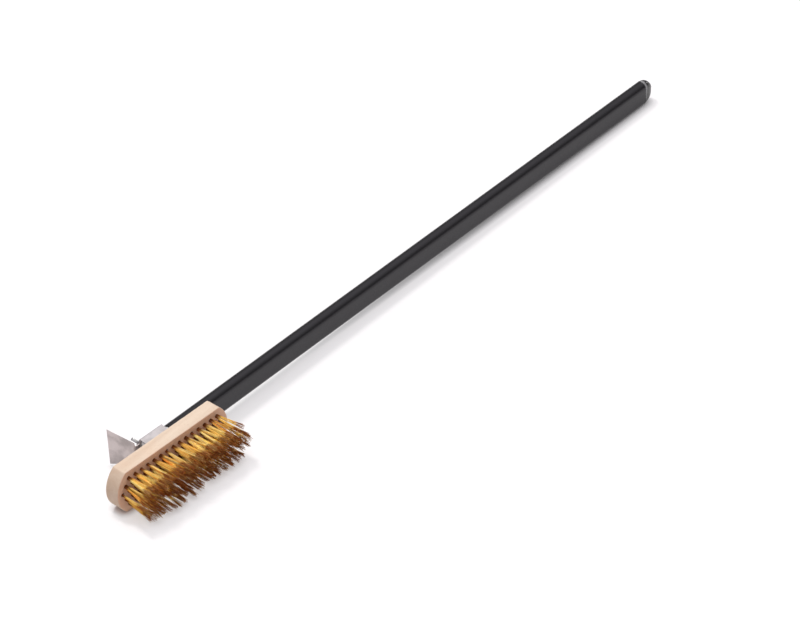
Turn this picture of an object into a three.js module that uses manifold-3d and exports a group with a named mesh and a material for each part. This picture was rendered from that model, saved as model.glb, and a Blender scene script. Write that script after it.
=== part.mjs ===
// Long-handled grill cleaning brush: a beech head with five rows of brass tufts, a stainless scraper,
// and a flat-oval aluminium handle. One bolt and a wing nut clamp the head at any angle to the handle.
//
// Millimetres. The brush lies on one long side of its head, as on a table. The origin is the middle
// of that side, +X runs along the handle, the bristles point to -Y and +Z is up.
// "Rise" is a distance from the back of the wood head towards +Y.
import * as THREE from 'three';
import { mergeVertices } from 'three/addons/utils/BufferGeometryUtils.js';
import Module from 'manifold-3d';

const wasm = await Module();
wasm.setup();

// ---- driving dimensions ---------------------------------------------------------------------

const gap = 0.3; // room between pieces that touch on the real brush
const overshoot = 1; // how far a cutting tool runs past the face it opens

const block = { straight: 149, endRise: 13, width: 55, thickness: 18.5, edge: 0.8 };
const backFace = block.thickness / 2;
const middle = block.width / 2;

const tuft = {
  pitch: 10,
  rowPitch: 9.05,
  counts: [15, 16, 17, 16, 15],
  holeRadius: 2.4,
  holeDepth: 12,
  rootRadius: 2.0,
  tipRadius: 2.7,
  length: 41,
};
tuft.rowSplay = 3; // degrees that each row leans away from the one nearer the middle
tuft.endSplay = 5; // degrees that the last tuft of a row leans outward
tuft.tangle = { height: 5, thickness: 1.2, fromTip: 4 };

const boltRadius = 2.45; // M5 with its thread at the outer diameter
const boltHoleRadius = 2.9;
const pivot = { x: -5, z: middle };

const plate = { length: 56, width: 42, thickness: 2, corner: 5, squareHole: 6.1 };
plate.bottom = gap;
plate.top = plate.bottom + plate.thickness;

const boltHead = { radius: 6.6, height: 3.2, neck: 5.5, pocketRadius: 7.2 };
boltHead.top = plate.bottom - gap;
boltHead.bottom = boltHead.top - boltHead.height;

const screw = { shankRadius: 1.6, headRadius: 3.6, headHeight: 1.9, length: 10.5, pilotRadius: 1.95 };
screw.offsetX = 2 * tuft.pitch;
screw.offsetZ = tuft.rowPitch * 5 / 3; // between three tuft holes, so no screw meets a hole

const frictionWasher = { radius: 11, thickness: 2, bottom: plate.top + gap };
frictionWasher.top = frictionWasher.bottom + frictionWasher.thickness;

const tube = { width: 33, thickness: 15, wall: 1.5, length: 867, start: 23.6, axisRise: 11 };
tube.lean = Math.atan(0.02); // the handle leans away from the bristle side
tube.end = tube.start + tube.length;
tube.boreWidth = tube.width - 2 * tube.wall;
tube.boreThickness = tube.thickness - 2 * tube.wall;

const saddle = { start: -14, end: 20.6, width: 34.4, sheet: 1.5, bend: 1.8, bottom: 3.6, top: 19.4 };
saddle.under = saddle.top - saddle.sheet;

const scraper = { sheet: 1.2, bottom: saddle.top + gap, tongueWidth: 20, turn: 3 };
scraper.top = scraper.bottom + scraper.sheet;
const blade = { foot: -19.6, angle: THREE.MathUtils.degToRad(71.5), length: 34, bend: 3 };
blade.narrow = 30; // its width at the foot
blade.wide = 53.4; // and at its far edge, still within the block's width so that the brush lies flat

const insert = { start: -12.6, reach: 65, bottom: frictionWasher.top + gap, top: saddle.under - gap };
insert.width = tube.boreWidth - 2 * gap;
insert.corner = 4;

const rivet = { shankRadius: 2, holeRadius: 2.3, headRadius: 3.6, headHeight: 1.3, depth: 8 };
rivet.places = [tube.start + 16, tube.start + 46];

const flatWasher = { outer: 5, inner: 2.8, thickness: 1, bottom: scraper.top + gap };
flatWasher.top = flatWasher.bottom + flatWasher.thickness;

const nut = { baseRadius: 5.2, neckRadius: 4.4, height: 6.5, bore: 2.8, wingThickness: 3.4, wingEdge: 0.5 };
nut.bottom = flatWasher.top + gap;
nut.turn = 129;
const boltTip = nut.bottom + nut.height + 2;

const cap = { tail: 26, tailFit: 0.3, groove: 0.6, dome: 17, flatness: 0.62, rings: 7, lastRing: 82 };

const colours = {
  beech: 0xe6cdb0, brass: 0xc08a35, stainless: 0xc6bfbd, zinc: 0xbdbdbd, blackSteel: 0x2a2725,
  cast: 0xb4b4b6, anodised: 0x4b494d, blackPlastic: 0x1d1d1f, nylon: 0xd8d6cf,
};

// ---- tools ----------------------------------------------------------------------------------

/** A closed three.js geometry as a manifold solid. */
function solid(geometry) {
  const bare = geometry.clone();
  bare.deleteAttribute('normal');
  bare.deleteAttribute('uv');
  const welded = mergeVertices(bare, 1e-4);
  const corners = [];
  for (let i = 0; i < welded.index.count; i += 3) {
    const [a, b, c] = [0, 1, 2].map((k) => welded.index.getX(i + k));
    const pointed = a === b || b === c || c === a; // a lathe's poles hold triangles of no area
    if (!pointed) corners.push(a, b, c);
  }
  return new wasm.Manifold(new wasm.Mesh({
    numProp: 3,
    vertProperties: new Float32Array(welded.attributes.position.array),
    triVerts: new Uint32Array(corners),
  }));
}

/** A manifold solid as a three.js geometry. */
function geometryOf(manifold) {
  const mesh = manifold.getMesh();
  const geometry = new THREE.BufferGeometry();
  geometry.setAttribute('position', new THREE.BufferAttribute(mesh.vertProperties.slice(), 3));
  geometry.setIndex(new THREE.BufferAttribute(mesh.triVerts.slice(), 1));
  geometry.computeVertexNormals();
  return geometry;
}

const alongX = new THREE.Matrix4().makeBasis(
  new THREE.Vector3(0, 1, 0), new THREE.Vector3(0, 0, 1), new THREE.Vector3(1, 0, 0));
const againstY = new THREE.Matrix4().makeBasis(
  new THREE.Vector3(1, 0, 0), new THREE.Vector3(0, 0, 1), new THREE.Vector3(0, -1, 0));

/** A shape drawn in (y, z), pushed from x = from to x = to. */
function prismAlongX(shape, from, to, curveSegments = 8) {
  const geometry = new THREE.ExtrudeGeometry(shape, { depth: to - from, bevelEnabled: false, curveSegments });
  return solid(geometry.applyMatrix4(alongX).translate(from, 0, 0));
}

/** A shape drawn in (x, z), pushed from y = from to y = to, with an optional bevel. */
function prismAlongY(shape, from, to, curveSegments = 12, edge = 0) {
  const geometry = new THREE.ExtrudeGeometry(shape, {
    depth: to - from - 2 * edge,
    bevelEnabled: edge > 0,
    bevelThickness: edge,
    bevelSize: edge,
    bevelOffset: -edge,
    bevelSegments: 1,
    curveSegments,
  });
  return solid(geometry.applyMatrix4(againstY).translate(0, to - edge, 0));
}

/** A shape drawn in (x, y), pushed from z = from to z = to. */
function prismAlongZ(shape, from, to, curveSegments = 8) {
  const geometry = new THREE.ExtrudeGeometry(shape, { depth: to - from, bevelEnabled: false, curveSegments });
  return solid(geometry.translate(0, 0, from));
}

/** A round bar along Y, from y = from to y = to, at (x, z). */
function barAlongY(radius, from, to, x, z, sides = 24) {
  const geometry = new THREE.CylinderGeometry(radius, radius, to - from, sides);
  return solid(geometry.translate(x, (from + to) / 2, z));
}

/** A profile of [radius, y] points turned about a line along Y through (x, z). */
function turned(profile, x, z, sides = 24) {
  const points = profile.map(([radius, y]) => new THREE.Vector2(radius, y));
  return solid(new THREE.LatheGeometry(points, sides).translate(x, 0, z));
}

function box(x0, x1, y0, y1, z0, z1) {
  const geometry = new THREE.BoxGeometry(x1 - x0, y1 - y0, z1 - z0);
  return solid(geometry.translate((x0 + x1) / 2, (y0 + y1) / 2, (z0 + z1) / 2));
}

function joined(pieces) {
  return pieces.reduce((whole, piece) => whole.add(piece));
}

function cut(whole, tools) {
  return tools.reduce((rest, tool) => rest.subtract(tool), whole);
}

/** A rectangle with rounded corners, centred on (u, v). */
function roundedRectangle(u, v, width, height, corner) {
  const [left, right] = [u - width / 2, u + width / 2];
  const [low, high] = [v - height / 2, v + height / 2];
  const shape = new THREE.Shape();
  shape.absarc(right - corner, low + corner, corner, -Math.PI / 2, 0);
  shape.absarc(right - corner, high - corner, corner, 0, Math.PI / 2);
  shape.absarc(left + corner, high - corner, corner, Math.PI / 2, Math.PI);
  shape.absarc(left + corner, low + corner, corner, Math.PI, 1.5 * Math.PI);
  return shape;
}

/** The handle's flat-oval section in (y, z): two half circles joined by flats. */
function flatOval(width, thickness) {
  const radius = thickness / 2;
  const reach = width / 2 - radius;
  const shape = new THREE.Shape();
  shape.absarc(0, reach, radius, 0, Math.PI);
  shape.absarc(0, -reach, radius, Math.PI, 2 * Math.PI);
  return shape;
}

/** A closed solid through flat-oval sections, each { x, width, thickness }. */
function ovalLoft(sections) {
  const rings = sections.map(({ width, thickness }) => flatOval(width, thickness).getPoints(8));
  const count = rings[0].length - 1; // the last point repeats the first
  const positions = [];
  const faces = [];
  sections.forEach(({ x }, s) => {
    for (let i = 0; i < count; i += 1) positions.push(x, rings[s][i].x, rings[s][i].y);
  });
  for (let s = 0; s + 1 < sections.length; s += 1) {
    for (let i = 0; i < count; i += 1) {
      const j = (i + 1) % count;
      const [a, b, c, d] = [s * count + i, s * count + j, (s + 1) * count + j, (s + 1) * count + i];
      faces.push(a, b, c, a, c, d);
    }
  }
  const last = (sections.length - 1) * count;
  for (let i = 1; i + 1 < count; i += 1) {
    faces.push(0, i + 1, i);
    faces.push(last, last + i, last + i + 1);
  }
  const geometry = new THREE.BufferGeometry();
  geometry.setAttribute('position', new THREE.Float32BufferAttribute(positions, 3));
  geometry.setIndex(faces);
  return solid(geometry);
}

/** Adds a named mesh with a material of its own to a group. */
function addPart(group, name, manifold, color, roughness, metalness) {
  const material = new THREE.MeshStandardMaterial({ color, roughness, metalness });
  const mesh = new THREE.Mesh(geometryOf(manifold), material);
  mesh.name = name;
  group.add(mesh);
}

// ---- brush head -----------------------------------------------------------------------------

/** x of each tuft in a row. */
function tuftPlaces(row) {
  const count = tuft.counts[row];
  return Array.from({ length: count }, (_, i) => (i - (count - 1) / 2) * tuft.pitch);
}

/** Height of a row of tufts above the table. */
function rowHeight(row) {
  return middle + (row - (tuft.counts.length - 1) / 2) * tuft.rowPitch;
}

/** The four plate screws stand around the bolt. */
function screwPlaces() {
  return [[-1, -1], [1, -1], [1, 1], [-1, 1]].map(([sx, sz]) => ({
    x: pivot.x + sx * screw.offsetX,
    z: pivot.z + sz * screw.offsetZ,
  }));
}

/** The wood block: straight long sides and bowed ends, drilled for tufts, screws and bolt head. */
function brushBlock() {
  const half = block.width / 2;
  const radius = (half ** 2 + block.endRise ** 2) / (2 * block.endRise);
  const centre = block.straight / 2 + block.endRise - radius;
  const spread = Math.asin(half / radius);
  const outline = new THREE.Shape();
  outline.absarc(centre, middle, radius, -spread, spread);
  outline.absarc(-centre, middle, radius, Math.PI - spread, Math.PI + spread);
  const body = prismAlongY(outline, -backFace, backFace, 20, block.edge);

  const cutters = [];
  tuft.counts.forEach((_, row) => {
    for (const x of tuftPlaces(row)) {
      cutters.push(barAlongY(
        tuft.holeRadius, -backFace - overshoot, -backFace + tuft.holeDepth, x, rowHeight(row), 10));
    }
  });
  for (const { x, z } of screwPlaces()) {
    cutters.push(barAlongY(
      screw.pilotRadius, backFace - screw.length - overshoot, backFace + overshoot, x, z, 12));
    cutters.push(turned([
      [0, backFace - screw.headHeight - gap],
      [screw.shankRadius + gap, backFace - screw.headHeight - gap],
      [screw.headRadius + gap, backFace + gap],
      [0, backFace + gap],
    ], x, z, 16));
  }
  cutters.push(barAlongY(
    boltHead.pocketRadius, backFace + boltHead.bottom - gap, backFace + overshoot, pivot.x, pivot.z, 24));
  return cut(body, cutters);
}

/** One row of tufts. Each has a root in its hole and flares towards a tip tangled with the next. */
function bristleRow(row) {
  const face = -backFace;
  const z = rowHeight(row);
  const lean = (row - (tuft.counts.length - 1) / 2) * tuft.rowSplay;
  const places = tuftPlaces(row);
  const end = places[places.length - 1];
  const roots = places.map((x) => barAlongY(tuft.rootRadius, face - 1, face + tuft.holeDepth - gap, x, z, 6));
  const rowTurn = new THREE.Matrix4().makeRotationX(THREE.MathUtils.degToRad(-lean));
  rowTurn.premultiply(new THREE.Matrix4().makeTranslation(0, face, z));
  const flares = places.map((x) => {
    const flare = new THREE.CylinderGeometry(tuft.rootRadius, tuft.tipRadius, tuft.length, 6);
    flare.translate(0, -tuft.length / 2, 0);
    flare.rotateZ(THREE.MathUtils.degToRad(tuft.endSplay * x / end));
    flare.translate(x, 0, 0);
    return solid(flare.applyMatrix4(rowTurn));
  });
  const { height, thickness, fromTip } = tuft.tangle;
  const reach = end + (tuft.length - fromTip) * Math.sin(THREE.MathUtils.degToRad(tuft.endSplay));
  const tangle = new THREE.BoxGeometry(2 * reach, height, thickness);
  tangle.translate(0, -tuft.length + fromTip + height / 2, 0);
  return joined([...roots, ...flares, solid(tangle.applyMatrix4(rowTurn))]);
}

/** A flat steel plate that holds the bolt's square neck. */
function headPlate() {
  const outline = roundedRectangle(pivot.x, pivot.z, plate.length, plate.width, plate.corner);
  const [y0, y1] = [backFace + plate.bottom, backFace + plate.top];
  const halfHole = plate.squareHole / 2;
  const cutters = [box(
    pivot.x - halfHole, pivot.x + halfHole, y0 - overshoot, y1 + overshoot,
    pivot.z - halfHole, pivot.z + halfHole)];
  for (const { x, z } of screwPlaces()) {
    cutters.push(turned([
      [0, y0 - overshoot],
      [screw.shankRadius + gap, y0 - overshoot],
      [screw.shankRadius + gap, y1 - screw.headHeight],
      [screw.headRadius + gap, y1],
      [screw.headRadius + gap, y1 + overshoot],
      [0, y1 + overshoot],
    ], x, z, 16));
  }
  return cut(prismAlongY(outline, y0, y1, 6), cutters);
}

/** A countersunk wood screw with a cross recess. */
function plateScrew({ x, z }) {
  const top = backFace + plate.top;
  const point = top - screw.length;
  const tip = 3;
  const body = turned([
    [0, point],
    [screw.shankRadius, point + tip],
    [screw.shankRadius, top - screw.headHeight],
    [screw.headRadius, top],
    [0, top],
  ], x, z, 16);
  const [arm, slot, depth] = [2.1, 0.45, 1.1];
  return cut(body, [
    box(x - arm, x + arm, top - depth, top + overshoot, z - slot, z + slot),
    box(x - slot, x + slot, top - depth, top + overshoot, z - arm, z + arm),
  ]);
}

/** The swivel bolt: its round head sits in the block and its square neck in the plate. */
function swivelBolt() {
  const chamfer = 0.7;
  const shank = turned([
    [0, backFace + boltHead.bottom],
    [boltHead.radius - chamfer, backFace + boltHead.bottom],
    [boltHead.radius, backFace + boltHead.bottom + chamfer],
    [boltHead.radius, backFace + boltHead.top],
    [boltRadius, backFace + boltHead.top],
    [boltRadius, backFace + boltTip - chamfer],
    [boltRadius - chamfer, backFace + boltTip],
    [0, backFace + boltTip],
  ], pivot.x, pivot.z);
  const half = boltHead.neck / 2;
  const neck = box(
    pivot.x - half, pivot.x + half, backFace + boltHead.top - overshoot, backFace + plate.top,
    pivot.z - half, pivot.z + half);
  return shank.add(neck);
}

// ---- clamp ----------------------------------------------------------------------------------

/** A flat ring around the bolt. */
function washer(outer, inner, bottom, thickness) {
  const ring = new THREE.Shape();
  ring.absarc(pivot.x, pivot.z, outer, 0, 2 * Math.PI);
  const hole = new THREE.Path();
  hole.absarc(pivot.x, pivot.z, inner, 0, 2 * Math.PI);
  ring.holes.push(hole);
  return prismAlongY(ring, backFace + bottom, backFace + bottom + thickness, 16);
}

/** The wing nut, one wing up and towards the scraper. */
function wingNut() {
  const rim = 1.2;
  const hub = turned([
    [0, 0], [nut.baseRadius, 0], [nut.baseRadius, rim], [nut.neckRadius, nut.height], [0, nut.height],
  ], 0, 0);
  const wing = new THREE.Shape();
  wing.moveTo(3.4, 0.6);
  wing.lineTo(5, 0.8);
  wing.quadraticCurveTo(9.6, 2.2, 11, 7.4);
  wing.bezierCurveTo(12, 11, 10.6, 12.4, 9.2, 11.8);
  wing.bezierCurveTo(7, 11, 7.6, 7.2, 3.4, 6);
  const edge = nut.wingEdge;
  const wings = [0, Math.PI].map((turn) => {
    const plateOfWing = new THREE.ExtrudeGeometry(wing, {
      depth: nut.wingThickness - 2 * edge,
      bevelThickness: edge,
      bevelSize: edge,
      bevelOffset: -edge,
      bevelSegments: 2,
      curveSegments: 6,
    });
    return solid(plateOfWing.translate(0, 0, edge - nut.wingThickness / 2).rotateY(turn));
  });
  const bore = barAlongY(nut.bore, -overshoot, nut.height + overshoot, 0, 0);
  return joined([hub, ...wings]).subtract(bore)
    .rotate([0, -nut.turn, 0])
    .translate([pivot.x, backFace + nut.bottom, pivot.z]);
}

// ---- scraper --------------------------------------------------------------------------------

/** The side view of the scraper's sheet: a flat tongue, then bent up into the blade. */
function sheetProfile(tongueEnd) {
  const { foot, angle, length, bend } = blade;
  const outer = bend + scraper.sheet;
  const top = backFace + scraper.top;
  const bottom = backFace + scraper.bottom;
  const bendLength = outer * Math.tan(angle / 2); // from the blade's foot to where its bend ends
  const centre = new THREE.Vector2(foot + bendLength, top + bend);
  const start = -Math.PI / 2;
  const finish = start - angle;
  const straight = length - bendLength;
  const along = new THREE.Vector2(-Math.cos(angle), Math.sin(angle)).multiplyScalar(straight);
  const on = (radius) => new THREE.Vector2(Math.cos(finish), Math.sin(finish)).multiplyScalar(radius).add(centre);
  const inside = on(bend);
  const outside = on(outer);
  const shape = new THREE.Shape();
  shape.moveTo(tongueEnd, top);
  shape.absarc(centre.x, centre.y, bend, start, finish, true);
  shape.lineTo(inside.x + along.x, inside.y + along.y);
  shape.lineTo(outside.x + along.x, outside.y + along.y);
  shape.lineTo(outside.x, outside.y);
  shape.absarc(centre.x, centre.y, outer, finish, start, false);
  shape.lineTo(tongueEnd, bottom);
  return shape;
}

/** The scraper: a tongue with a round end on the bolt, and a blade that widens, a little askew. */
function scraperSheet() {
  const half = scraper.tongueWidth / 2;
  const step = 0.5; // the shoulder between the tongue and the blade's foot
  const bladeEnd = blade.foot - blade.length * Math.cos(blade.angle);
  const outline = new THREE.Shape();
  outline.absarc(pivot.x, 0, half, -Math.PI / 2, Math.PI / 2);
  outline.lineTo(blade.foot + step, half);
  outline.lineTo(blade.foot, blade.narrow / 2);
  outline.lineTo(bladeEnd - overshoot, blade.wide / 2);
  outline.lineTo(bladeEnd - overshoot, -blade.wide / 2);
  outline.lineTo(blade.foot, -blade.narrow / 2);
  outline.lineTo(blade.foot + step, -half);
  const [low, high] = [backFace, backFace + scraper.top + blade.length];
  const boltHole = barAlongY(
    boltHoleRadius, backFace + scraper.bottom - overshoot, backFace + scraper.top + overshoot, pivot.x, 0);
  return prismAlongZ(sheetProfile(pivot.x + half + overshoot), -blade.wide, blade.wide)
    .intersect(prismAlongY(outline, low, high))
    .subtract(boltHole)
    .translate([-pivot.x, 0, 0])
    .rotate([0, -scraper.turn, 0])
    .translate([pivot.x, 0, middle]);
}

// ---- handle ---------------------------------------------------------------------------------

/** The saddle: a channel of sheet over the insert, its web under the scraper. */
function handleSaddle() {
  const half = saddle.width / 2;
  const { bend, sheet } = saddle;
  const inner = bend - sheet;
  const [top, bottom] = [backFace + saddle.top, backFace + saddle.bottom];
  const channel = new THREE.Shape();
  channel.moveTo(bottom, half);
  channel.absarc(top - bend, half - bend, bend, Math.PI / 2, 0, true);
  channel.absarc(top - bend, -half + bend, bend, 0, -Math.PI / 2, true);
  channel.lineTo(bottom, -half);
  channel.lineTo(bottom, -half + sheet);
  channel.absarc(top - bend, -half + bend, inner, -Math.PI / 2, 0, false);
  channel.absarc(top - bend, half - bend, inner, 0, Math.PI / 2, false);
  channel.lineTo(bottom, half - sheet);
  const boltHole = barAlongY(boltHoleRadius, backFace + saddle.under - overshoot, top + overshoot, pivot.x, 0);
  return prismAlongX(channel, saddle.start, saddle.end, 6)
    .subtract(boltHole)
    .translate([0, 0, middle]);
}

/** The line that the tube follows: its own x, y and z, leaning away from the bristle side. */
const handleLine = new THREE.Matrix4()
  .makeRotationZ(tube.lean)
  .premultiply(new THREE.Matrix4().makeTranslation(0, backFace + tube.axisRise, middle));

/** Moves a solid from the tube's own line to its place on the brush. */
function onHandle(manifold) {
  return manifold.transform(handleLine.elements);
}

/** The flat-oval tube, open at both ends, with two rivet holes in its back. */
function handleTube() {
  const section = flatOval(tube.width, tube.thickness);
  const bore = flatOval(tube.boreWidth, tube.boreThickness);
  section.holes.push(new THREE.Path(bore.getPoints(12)));
  const holes = rivet.places.map((x) => barAlongY(
    rivet.holeRadius, tube.boreThickness / 2 - overshoot, tube.thickness / 2 + overshoot, x, 0, 16));
  return onHandle(cut(prismAlongX(section, tube.start, tube.end, 12), holes));
}

/** The cast insert: a block around the bolt, and a flat-oval tongue inside the tube. */
function handleInsert() {
  const tongueStart = tube.start - 3;
  const tongueEnd = tube.start + insert.reach;
  const tongue = onHandle(ovalLoft([
    { x: tongueStart, width: insert.width, thickness: tube.boreThickness - 2 * gap },
    { x: tongueEnd - 2, width: insert.width, thickness: tube.boreThickness - 2 * gap },
    { x: tongueEnd, width: insert.width - 3, thickness: tube.boreThickness - 2 * gap - 3 },
  ]));
  const length = tube.start - gap - insert.start;
  const outline = roundedRectangle(insert.start + length / 2, middle, length, insert.width, insert.corner);
  const head = prismAlongY(outline, backFace + insert.bottom, backFace + insert.top, 6);
  const rivetHoles = rivet.places.map((x) => onHandle(
    barAlongY(rivet.holeRadius, tube.thickness / 2 - rivet.depth - gap, tube.thickness, x, 0, 16)));
  const boltHole = barAlongY(
    boltHoleRadius, backFace + insert.bottom - overshoot, backFace + insert.top + overshoot, pivot.x, pivot.z);
  return cut(head.add(tongue), [boltHole, ...rivetHoles]);
}

/** A dome-headed rivet through the tube's back into the insert. */
function insertRivet(x) {
  const seat = tube.thickness / 2 + gap;
  const { shankRadius, headRadius, headHeight, depth } = rivet;
  const dome = Array.from({ length: 5 }, (_, i) => {
    const angle = (i + 1) / 6 * Math.PI / 2;
    return [headRadius * Math.cos(angle), seat + headHeight * Math.sin(angle)];
  });
  return onHandle(turned([
    [0, tube.thickness / 2 - depth],
    [shankRadius, tube.thickness / 2 - depth],
    [shankRadius, seat],
    [headRadius, seat],
    ...dome,
    [0, seat + headHeight],
  ], x, 0, 20));
}

/** The end cap: a tail inside the tube, a groove at its mouth and a half-oval dome. */
function endCap() {
  const tailWidth = tube.boreWidth - 2 * cap.tailFit;
  const tailThickness = tube.boreThickness - 2 * cap.tailFit;
  const face = tube.end + gap;
  const domeStart = face + cap.groove;
  const sections = [
    { x: tube.end - cap.tail, width: tailWidth - 2, thickness: tailThickness - 2 },
    { x: tube.end - cap.tail + 3, width: tailWidth, thickness: tailThickness },
    { x: face, width: tailWidth, thickness: tailThickness },
    { x: face + 0.01, width: tube.width - 2 * cap.groove, thickness: tube.thickness - 2 * cap.groove },
  ];
  for (let ring = 0; ring <= cap.rings; ring += 1) {
    const angle = THREE.MathUtils.degToRad(cap.lastRing * ring / cap.rings);
    sections.push({
      x: domeStart + (cap.dome - cap.groove) * Math.sin(angle),
      width: tube.width * Math.cos(angle),
      thickness: tube.thickness * Math.cos(angle) ** cap.flatness,
    });
  }
  return onHandle(ovalLoft(sections));
}

// ---- assembly -------------------------------------------------------------------------------

const head = new THREE.Group();
addPart(head, 'brush_block', brushBlock(), colours.beech, 0.6, 0);
tuft.counts.forEach((_, row) => {
  addPart(head, `bristle_row_${row + 1}`, bristleRow(row), colours.brass, 0.35, 0.9);
});
addPart(head, 'head_plate', headPlate(), colours.stainless, 0.4, 0.9);
screwPlaces().forEach((place, i) => {
  addPart(head, `plate_screw_${i + 1}`, plateScrew(place), colours.zinc, 0.3, 1);
});
addPart(head, 'swivel_bolt', swivelBolt(), colours.blackSteel, 0.45, 0.8);

const clamp = new THREE.Group();
addPart(clamp, 'scraper', scraperSheet(), colours.stainless, 0.4, 0.9);
addPart(clamp, 'flat_washer',
  washer(flatWasher.outer, flatWasher.inner, flatWasher.bottom, flatWasher.thickness), colours.zinc, 0.3, 1);
addPart(clamp, 'wing_nut', wingNut(), colours.zinc, 0.3, 1);

const handle = new THREE.Group();
addPart(handle, 'friction_washer',
  washer(frictionWasher.radius, flatWasher.inner, frictionWasher.bottom, frictionWasher.thickness),
  colours.nylon, 0.6, 0);
addPart(handle, 'handle_saddle', handleSaddle(), colours.stainless, 0.4, 0.9);
addPart(handle, 'handle_insert', handleInsert(), colours.cast, 0.5, 0.8);
addPart(handle, 'handle_tube', handleTube(), colours.anodised, 0.5, 0.3);
rivet.places.forEach((x, i) => {
  addPart(handle, `insert_rivet_${i + 1}`, insertRivet(x), colours.zinc, 0.35, 0.9);
});
addPart(handle, 'end_cap', endCap(), colours.blackPlastic, 0.25, 0);

const brush = new THREE.Group();
brush.add(head, clamp, handle);

export default brush;
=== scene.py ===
"""Looks for a long-handled grill cleaning brush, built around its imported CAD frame.

Metres, in the CAD's own frame: the brush lies on one long side of its wood head, +X runs along the
handle, the bristles point to -Y and +Z is up. Every size comes from the frame or from a named
value.
"""
import math
import random

import bmesh
import bpy
from mathutils import Matrix, Vector


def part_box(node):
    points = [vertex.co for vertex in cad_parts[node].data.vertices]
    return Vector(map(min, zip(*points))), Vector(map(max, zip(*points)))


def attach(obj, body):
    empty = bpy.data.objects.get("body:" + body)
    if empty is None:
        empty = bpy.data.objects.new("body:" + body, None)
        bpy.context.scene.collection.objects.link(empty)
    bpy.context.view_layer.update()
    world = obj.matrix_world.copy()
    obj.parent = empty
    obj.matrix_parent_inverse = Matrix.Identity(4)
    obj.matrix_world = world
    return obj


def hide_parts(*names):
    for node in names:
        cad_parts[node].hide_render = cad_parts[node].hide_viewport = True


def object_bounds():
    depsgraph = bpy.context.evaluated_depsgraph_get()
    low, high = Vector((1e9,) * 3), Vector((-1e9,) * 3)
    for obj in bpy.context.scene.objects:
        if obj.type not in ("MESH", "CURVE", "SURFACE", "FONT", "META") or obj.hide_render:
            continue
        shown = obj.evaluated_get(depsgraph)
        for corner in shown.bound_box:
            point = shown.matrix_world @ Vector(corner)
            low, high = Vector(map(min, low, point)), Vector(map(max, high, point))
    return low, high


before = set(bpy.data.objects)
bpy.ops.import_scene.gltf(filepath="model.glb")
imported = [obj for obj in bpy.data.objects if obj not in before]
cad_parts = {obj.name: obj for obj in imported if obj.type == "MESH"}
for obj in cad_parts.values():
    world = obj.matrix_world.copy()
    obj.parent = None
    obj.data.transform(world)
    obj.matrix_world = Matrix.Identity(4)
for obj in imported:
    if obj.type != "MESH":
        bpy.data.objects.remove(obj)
cad_low, cad_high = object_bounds()

MM = 0.001

# ---- sizes read from the frame ----------------------------------------------------------------

block_low, block_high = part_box("brush_block")
block_centre = (block_low + block_high) / 2
block_face = block_low.y  # the bristles leave this face
block_back = block_high.y
tube_low, tube_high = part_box("handle_tube")
_, cap_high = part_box("end_cap")
bolt_low, bolt_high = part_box("swivel_bolt")
bolt_axis = Vector(((bolt_low.x + bolt_high.x) / 2, 0, (bolt_low.z + bolt_high.z) / 2))

# ---- sizes the frame's boxes can't tell --------------------------------------------------------

END_RISE = 13 * MM  # how far the block's bowed ends stand out from its straight sides
BLOCK_EDGE = 0.9 * MM
TUFT_PITCH = 10 * MM
ROW_PITCH = 9.05 * MM
TUFTS_IN_ROW = (15, 16, 17, 16, 15)
HOLE_RADIUS = 2.4 * MM
HOLE_DEPTH = 12 * MM
TUBE_THICKNESS = 15 * MM
TUBE_WALL = 1.5 * MM
BOLT_RADIUS = 2.45 * MM
THREAD_PITCH = 0.8 * MM

SEED = 20  # of every random draw below


# ---- mesh tools ---------------------------------------------------------------------------------

def add_object(name, mesh):
    """Links a mesh to the scene under a piece name."""
    piece = bpy.data.objects.new(name, mesh)
    bpy.context.scene.collection.objects.link(piece)
    return piece


def mesh_from(name, points, faces):
    """A mesh of points and faces, faces being lists of point numbers."""
    mesh = bpy.data.meshes.new(name)
    mesh.from_pydata([tuple(p) for p in points], [], faces)
    mesh.validate()
    return mesh


def smooth_by_angle(mesh, degrees=35):
    """Smooth shading, with edges sharper than an angle left sharp."""
    mesh.shade_smooth()
    mesh.set_sharp_from_angle(angle=math.radians(degrees))


def applied(piece):
    """Applies a piece's modifiers to its mesh."""
    graph = bpy.context.evaluated_depsgraph_get()
    mesh = bpy.data.meshes.new_from_object(piece.evaluated_get(graph))
    piece.modifiers.clear()
    piece.data = mesh
    return piece


def bevel(piece, width, segments, degrees=30):
    """Rounds a piece's edges that turn by more than an angle."""
    modifier = piece.modifiers.new("bevel", "BEVEL")
    modifier.width = width
    modifier.segments = segments
    modifier.limit_method = "ANGLE"
    modifier.angle_limit = math.radians(degrees)
    modifier.use_clamp_overlap = True
    return applied(piece)


def shade_flat_faces_flat(piece, degrees=40):
    """Smooth shading that keeps broad flat faces flat beside their eased edges."""
    smooth_by_angle(piece.data, degrees)
    weighted = piece.modifiers.new("weighted", "WEIGHTED_NORMAL")
    weighted.keep_sharp = True
    return applied(piece)


def loft_faces(ring_count, ring_size, closed=False):
    """Quads between rings of equal size, and caps on the two end rings unless the loft is closed."""
    faces = []
    for s in range(ring_count if closed else ring_count - 1):
        a = s * ring_size
        b = ((s + 1) % ring_count) * ring_size
        for i in range(ring_size):
            j = (i + 1) % ring_size
            faces.append((a + i, a + j, b + j, b + i))
    if not closed:
        last = (ring_count - 1) * ring_size
        faces.append(tuple(range(ring_size))[::-1])
        faces.append(tuple(range(last, last + ring_size)))
    return faces


def faces_outward(mesh):
    """Turns every face of a closed mesh to look outward."""
    form = bmesh.new()
    form.from_mesh(mesh)
    bmesh.ops.recalc_face_normals(form, faces=form.faces)
    form.to_mesh(mesh)
    form.free()


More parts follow.
